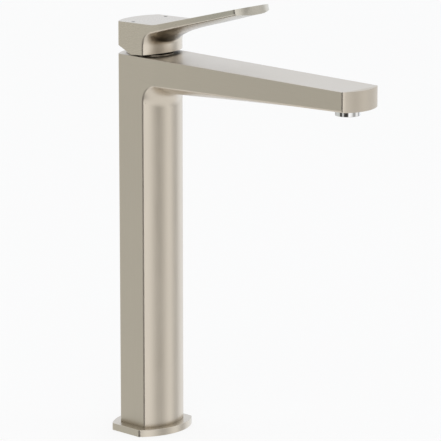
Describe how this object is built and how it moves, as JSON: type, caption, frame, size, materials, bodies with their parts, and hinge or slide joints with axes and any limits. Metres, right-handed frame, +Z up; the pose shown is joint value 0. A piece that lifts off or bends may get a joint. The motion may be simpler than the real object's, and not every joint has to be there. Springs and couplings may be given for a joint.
{
  "type": "tall basin mixer tap",
  "caption": "Tall single-lever basin mixer: bowed-square column on a foot plate, long flat spout with an aerator, and a flat blade lever over a ceramic-disc cartridge.",
  "frame": {"origin": "centre of the column on the deck plane, at the underside of the foot plate", "axes": "+Z up the column, +X along the spout and the lever, +Y to the right of a user who faces the spout"},
  "size_m": [0.2522, 0.059, 0.3516],
  "materials": {
    "nickel_casting": "brushed nickel over cast brass",
    "nickel_plate": "brushed nickel over brass",
    "nickel_lever": "brushed nickel over zinc casting",
    "bright_cover": "polished chrome",
    "aerator_chrome": "polished chrome",
    "aerator_plastic": "moulded acetal",
    "plain_brass": "machined brass",
    "steel_hardware": "stainless steel",
    "black_rubber": "nitrile rubber",
    "grey_plastic": "moulded plastic",
    "ceramic": "polished ceramic",
    "plug_plastic": "moulded plastic, nickel grey",
    "mark_enamel": "enamel"
  },
  "bodies": {
    "mixer": {"body": "nickel_casting", "base_plate": "nickel_plate", "deck_seal": "black_rubber", "fixing_bush": "plain_brass", "valve_body": "plain_brass", "valve_seals": "black_rubber", "lock_ring": "plain_brass", "port_seals": "black_rubber", "cartridge_base": "grey_plastic", "fixed_disc": "ceramic", "cartridge_housing": "grey_plastic", "ring_nut": "plain_brass", "nut_dome": "bright_cover", "aerator_housing": "aerator_chrome", "aerator_insert": "aerator_plastic", "aerator_seal": "black_rubber"},
    "swivel": {"rotor": "grey_plastic", "pivot_pin": "steel_hardware"},
    "lever": {"handle": "nickel_lever", "stem": "plain_brass", "set_screw": "steel_hardware", "screw_plug": "plug_plastic", "hot_cold_marks": "mark_enamel"},
    "disc_slide": {"disc_carrier": "grey_plastic", "moving_disc": "ceramic"}
  },
  "joints": [
    {"name": "temperature_swivel", "type": "hinge", "parent": "mixer", "child": "swivel", "pos_m": [0, 0, 0.294], "axis": [0, 0, 1], "range_deg": [-45, 45]},
    {"name": "flow_lift", "type": "hinge", "parent": "swivel", "child": "lever", "pos_m": [0, 0, 0.294], "axis": [0, -1, 0], "range_deg": [0, 20]},
    {"name": "disc_travel", "type": "slide", "parent": "swivel", "child": "disc_slide", "axis": [1, 0, 0], "range_m": [0, 0.0032]}
  ],
  "couplings": [
    {"joint": "disc_travel", "follows": "flow_lift", "m_per_rad": 0.009}
  ]
}
